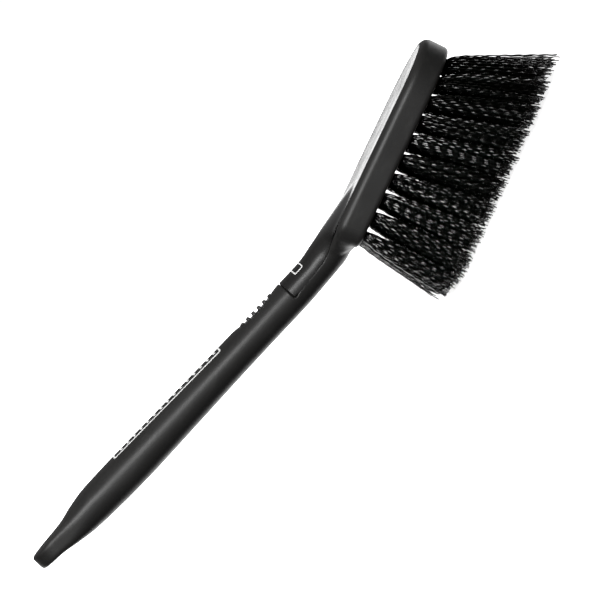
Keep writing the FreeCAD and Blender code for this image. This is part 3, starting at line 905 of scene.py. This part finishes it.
# Depth of the reliefs in metres.
FLOW_RELIEF = 0.00016
SCRATCH_RELIEF = 0.000006
CELL_RELIEF = 0.00003
GRAIN_RELIEF = 0.00003
DRAW_RELIEF = 0.00002
ROLLING_RELIEF = 0.00001
INK_RELIEF = 0.00001

FULL = (0.0, 1.0)


class Nodes:
    """Short calls for building one material's nodes."""

    def __init__(self, name):
        self.material = bpy.data.materials.new(name)
        self.material.use_nodes = True
        self.tree = self.material.node_tree
        self.shader = self.tree.nodes["Principled BSDF"]
        self.place = self.add("ShaderNodeTexCoord").outputs["Object"]

    def add(self, kind, **values):
        """A new node with the given settings."""
        node = self.tree.nodes.new(kind)
        for key, value in values.items():
            setattr(node, key, value)
        return node

    def link(self, output, target):
        self.tree.links.new(output, target)

    def noise(self, scale, detail=3.0, roughness=0.5):
        """Cloudy noise of a scale per metre, or of one scale for each axis."""
        place = self.place
        if isinstance(scale, tuple):
            stretch = self.add("ShaderNodeMapping")
            stretch.inputs["Scale"].default_value = scale
            self.link(place, stretch.inputs["Vector"])
            place = stretch.outputs["Vector"]
            scale = 1.0
        node = self.add("ShaderNodeTexNoise")
        node.inputs["Scale"].default_value = scale
        node.inputs["Detail"].default_value = detail
        node.inputs["Roughness"].default_value = roughness
        self.link(place, node.inputs["Vector"])
        return node.outputs["Fac"]

    def span(self, value, start, goal):
        """Maps a value's range, a pair, onto another, and holds it there."""
        node = self.add("ShaderNodeMapRange")
        for key, number in zip(("From Min", "From Max", "To Min", "To Max"), (*start, *goal)):
            node.inputs[key].default_value = number
        self.link(value, node.inputs["Value"])
        return node.outputs["Result"]

    def wear(self, value, amount):
        """A pattern turned down to the given amount."""
        return self.math("MULTIPLY", value, amount)

    def math(self, operation, first, second):
        """One sum of two values, each an output or a number."""
        node = self.add("ShaderNodeMath", operation=operation)
        for index, value in enumerate((first, second)):
            if isinstance(value, (int, float)):
                node.inputs[index].default_value = value
            else:
                self.link(value, node.inputs[index])
        return node.outputs["Value"]

    def blend(self, share, first, second):
        """A colour between two colours."""
        node = self.add("ShaderNodeMix", data_type="RGBA")
        self.link(share, node.inputs["Factor"])
        for key, value in (("A", first), ("B", second)):
            socket = [s for s in node.inputs if s.name == key and s.type == "RGBA"][0]
            if isinstance(value, tuple):
                socket.default_value = (*value, 1.0)
            else:
                self.link(value, socket)
        return [s for s in node.outputs if s.type == "RGBA"][0]

    def bump(self, height, distance, strength, under=None):
        """Relief of the given distance in metres, over another relief if one is given."""
        node = self.add("ShaderNodeBump")
        node.inputs["Distance"].default_value = distance
        node.inputs["Strength"].default_value = strength
        self.link(height, node.inputs["Height"])
        if under is not None:
            self.link(under, node.inputs["Normal"])
        return node.outputs["Normal"]

    def finish(self, colour, roughness, normal, **sockets):
        """Joins the parts to the shader; other sockets take an output or a number."""
        self.link(colour, self.shader.inputs["Base Color"])
        self.link(roughness, self.shader.inputs["Roughness"])
        self.link(normal, self.shader.inputs["Normal"])
        for name, value in sockets.items():
            socket = self.shader.inputs[name.replace("_", " ")]
            if isinstance(value, bpy.types.NodeSocket):
                self.link(value, socket)
            else:
                socket.default_value = value
        return self.material


def gloss_plastic():
    """Polished black polypropylene with hairline scratches and a trace of dust."""
    n = Nodes("gloss_plastic")
    cloud = n.noise(55.0)
    hairs = n.span(n.noise((260.0, 5200.0, 2600.0), 4.0, 0.7), (0.62, 0.78), FULL)
    cross = n.span(n.noise((3900.0, 330.0, 2100.0), 3.0, 0.7), (0.66, 0.8), (0.0, 0.7))
    scratch = n.math("ADD", hairs, cross)
    dust = n.span(n.noise(2600.0, 2.0), (0.7, 0.76), FULL)
    colour = n.blend(cloud, *PLASTIC_SHADES)
    colour = n.blend(n.wear(dust, DUST_SHARE), colour, DUST_COLOUR)
    parts = n.add("ShaderNodeSeparateXYZ")
    n.link(n.place, parts.inputs["Vector"])
    rough = n.math("ADD", n.span(cloud, (0.3, 0.7), PLASTIC_ROUGHNESS), n.wear(scratch, SCRATCH_ROUGHNESS))
    rough = n.math("ADD", rough, n.span(parts.outputs["X"], DULL_NECK, DULL_ADDED))
    rough = n.math("ADD", rough, n.wear(dust, DUST_ROUGHNESS))
    flow = n.bump(n.noise((14.0, 260.0, 60.0), 3.0, 0.6), FLOW_RELIEF, 0.8)
    normal = n.bump(scratch, SCRATCH_RELIEF, 0.7, flow)
    return n.finish(colour, rough, normal, IOR=1.49)


def satin_rubber():
    """Black thermoplastic rubber with a fine spark grain, scuffs and a little grey bloom."""
    n = Nodes("satin_rubber")
    cloud = n.noise(38.0, 4.0, 0.55)
    grain = n.noise(2300.0, 3.0, 0.6)
    cells = n.add("ShaderNodeTexVoronoi")
    cells.inputs["Scale"].default_value = 1500.0
    n.link(n.place, cells.inputs["Vector"])
    scuff = n.span(n.noise((60.0, 240.0, 240.0), 5.0, 0.65), (0.56, 0.74), FULL)
    colour = n.blend(cloud, *RUBBER_SHADES)
    colour = n.blend(n.wear(scuff, SCUFF_SHARE), colour, SCUFF_COLOUR)
    rough = n.span(cloud, (0.25, 0.75), RUBBER_ROUGHNESS)
    rough = n.math("ADD", rough, n.wear(scuff, SCUFF_ROUGHNESS))
    rough = n.math("ADD", rough, n.span(grain, (0.3, 0.7), GRAIN_ROUGHNESS))
    coarse = n.bump(cells.outputs["Distance"], CELL_RELIEF, 0.6)
    normal = n.bump(grain, GRAIN_RELIEF, 0.8, coarse)
    return n.finish(colour, rough, normal, IOR=1.47)


def bristle_plastic():
    """Drawn black filament: each one differs in shade and gloss, with lengthwise draw lines."""
    n = Nodes("bristle_plastic")
    tone = n.add("ShaderNodeAttribute", attribute_name="tone").outputs["Fac"]
    draw = n.noise((4200.0, 4200.0, 300.0), 3.0, 0.6)
    spots = n.span(n.noise(900.0), (0.6, 0.8), (0.0, SPOT_SHARE))
    colour = n.blend(spots, n.blend(tone, *FILAMENT_SHADES), SPOT_COLOUR)
    lines = n.span(draw, (0.3, 0.7), DRAW_ROUGHNESS)
    rough = n.math("ADD", n.span(tone, FULL, FILAMENT_ROUGHNESS), lines)
    polish = n.span(tone, POLISHED_TONES, FILAMENT_POLISH)
    normal = n.bump(draw, DRAW_RELIEF, 0.5)
    return n.finish(colour, rough, normal, IOR=1.6, Specular_IOR_Level=polish)


def anchor_metal():
    """Rolled steel strip: drawn lines and dull patches."""
    n = Nodes("anchor_metal")
    lines = n.noise((4000.0, 250.0, 4000.0), 4.0, 0.7)
    cloud = n.noise(400.0)
    colour = n.blend(cloud, *STEEL_SHADES)
    dull = n.span(cloud, (0.4, 0.8), DULL_PATCHES)
    rough = n.math("ADD", n.span(lines, (0.3, 0.7), STEEL_ROUGHNESS), dull)
    normal = n.bump(lines, ROLLING_RELIEF, 0.6)
    return n.finish(colour, rough, normal, Metallic=1.0)


def print_ink():
    """White pad-print ink, thin in places and rubbed."""
    n = Nodes("print_ink")
    worn = n.span(n.noise(700.0, 4.0, 0.65), (0.58, 0.72), FULL)
    cloud = n.noise(160.0, 2.0)
    colour = n.blend(cloud, *INK_SHADES)
    colour = n.blend(n.wear(worn, WORN_SHARE), colour, WORN_COLOUR)
    rough = n.math("ADD", n.span(cloud, (0.3, 0.7), INK_ROUGHNESS), n.wear(worn, WORN_ROUGHNESS))
    normal = n.bump(n.noise(1800.0, 2.0), INK_RELIEF, 0.5)
    return n.finish(colour, rough, normal)


def dress_anchors():
    """The anchors stay as they are in CAD, in worn steel."""
    metal = anchor_metal()
    for row in range(ROW_COUNT):
        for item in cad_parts[f"anchors_row_{row + 1:02d}"].material_slots:
            item.material = metal


# Stage --------------------------------------------------------------------------------------------

LENS = 130.0
CAMERA_ROLL = math.radians(64.5)
CAMERA_LIFT = math.radians(4.0)
CAMERA_DISTANCE = 1.0
CAMERA_TARGET = Vector((-0.083, 0.0, -0.0013))

# Softboxes: place, size and power. They all face the target.
LIGHT_TARGET = Vector((-0.08, 0.0, 0.0))
LIGHTS = {
    "key": ((-0.1, -0.97, 0.65), (1.3, 0.22), 14.0),
    "low_key": ((-0.1, -1.06, 0.4), (1.3, 0.1), 2.6),
    "top_fill": ((-0.1, 0.1, 1.1), (1.2, 0.8), 9.0),
}

FLOOR_RADIUS = 0.9
FLOOR_CENTRE = -0.05
FLOOR_GREY = 0.6
FLOOR_GLOW = 0.86
FLOOR_FADE = (0.18, 0.8)
FLOOR_ROUGHNESS = 0.85
FLOOR_POLISH = 0.1
FLOOR_CORNERS = 96

# The surround's light: from dim in front to full behind, times from strong below to weak above.
WORLD_FADE_BACK = (0.45, 0.95, 0.02, 1.0)
WORLD_FADE_UP = (0.02, 0.17, 2.7, 0.18)


def add_camera():
    """Looks at the brush from its side, a little above the back plate, rolled so that the handle drops."""
    camera = bpy.data.objects.new("camera", bpy.data.cameras.new("camera"))
    bpy.context.scene.collection.objects.link(camera)
    back = Vector((0.0, -math.cos(CAMERA_LIFT), math.sin(CAMERA_LIFT)))
    upright = Vector((0.0, math.sin(CAMERA_LIFT), math.cos(CAMERA_LIFT)))
    up = Vector((1.0, 0.0, 0.0)) * math.sin(CAMERA_ROLL) + upright * math.cos(CAMERA_ROLL)
    turn = Matrix((up.cross(back), up, back)).transposed()
    camera.matrix_world = Matrix.Translation(CAMERA_TARGET + back * CAMERA_DISTANCE) @ turn.to_4x4()
    camera.data.lens = LENS
    bpy.context.scene.camera = camera


def add_lights():
    """The softboxes; the top fill leaves no reflection."""
    for name, (place, size, power) in LIGHTS.items():
        light = bpy.data.lights.new(name, "AREA")
        light.shape = "RECTANGLE"
        light.size, light.size_y = size
        light.energy = power
        item = bpy.data.objects.new(name, light)
        bpy.context.scene.collection.objects.link(item)
        item.location = place
        item.rotation_euler = (LIGHT_TARGET - Vector(place)).to_track_quat("-Z", "Y").to_euler()
        item.visible_glossy = name != "top_fill"


def add_floor():
    """A pale round floor under the tufts; towards its edge it fades into the white surround."""
    bpy.ops.mesh.primitive_circle_add(vertices=FLOOR_CORNERS, radius=FLOOR_RADIUS, fill_type="NGON")
    floor = bpy.context.object
    floor.name = "floor"
    floor.location = (FLOOR_CENTRE, 0.0, -TRIM_DROP * MM)
    n = Nodes("floor")
    n.shader.inputs["Base Color"].default_value = (FLOOR_GREY, FLOOR_GREY, FLOOR_GREY, 1.0)
    n.shader.inputs["Roughness"].default_value = FLOOR_ROUGHNESS
    n.shader.inputs["Specular IOR Level"].default_value = FLOOR_POLISH
    n.shader.inputs["Emission Color"].default_value = (1.0, 1.0, 1.0, 1.0)
    n.shader.inputs["Emission Strength"].default_value = FLOOR_GLOW
    length = n.add("ShaderNodeVectorMath", operation="LENGTH")
    n.link(n.place, length.inputs[0])
    n.link(n.span(length.outputs["Value"], FLOOR_FADE, (1.0, 0.0)), n.shader.inputs["Alpha"])
    floor.data.materials.append(n.material)
    floor.visible_glossy = False
    floor.visible_diffuse = False


def add_world():
    """White all round for the eye; the light that it throws is white behind and dim in front."""
    world = bpy.data.worlds.new("studio")
    bpy.context.scene.world = world
    bpy.context.scene.view_settings.view_transform = "Standard"
    world.use_nodes = True
    tree = world.node_tree
    background = tree.nodes["Background"]
    background.inputs["Color"].default_value = (1.0, 1.0, 1.0, 1.0)
    parts = tree.nodes.new("ShaderNodeSeparateXYZ")
    tree.links.new(tree.nodes.new("ShaderNodeTexCoord").outputs["Generated"], parts.inputs["Vector"])
    both = tree.nodes.new("ShaderNodeMath")
    both.operation = "MULTIPLY"
    for index, (axis, values) in enumerate((("Y", WORLD_FADE_BACK), ("Z", WORLD_FADE_UP))):
        fade = tree.nodes.new("ShaderNodeMapRange")
        fade.interpolation_type = "SMOOTHSTEP"
        for key, value in zip(("From Min", "From Max", "To Min", "To Max"), values):
            fade.inputs[key].default_value = value
        tree.links.new(parts.outputs[axis], fade.inputs["Value"])
        tree.links.new(fade.outputs["Result"], both.inputs[index])
    pick = tree.nodes.new("ShaderNodeMath")
    pick.operation = "MAXIMUM"
    tree.links.new(both.outputs["Value"], pick.inputs[0])
    seen = tree.nodes.new("ShaderNodeLightPath").outputs["Is Camera Ray"]
    tree.links.new(seen, pick.inputs[1])
    tree.links.new(pick.outputs["Value"], background.inputs["Strength"])


build_body()
build_tufts()
build_print()
dress_anchors()
add_camera()
add_world()
add_floor()
add_lights()
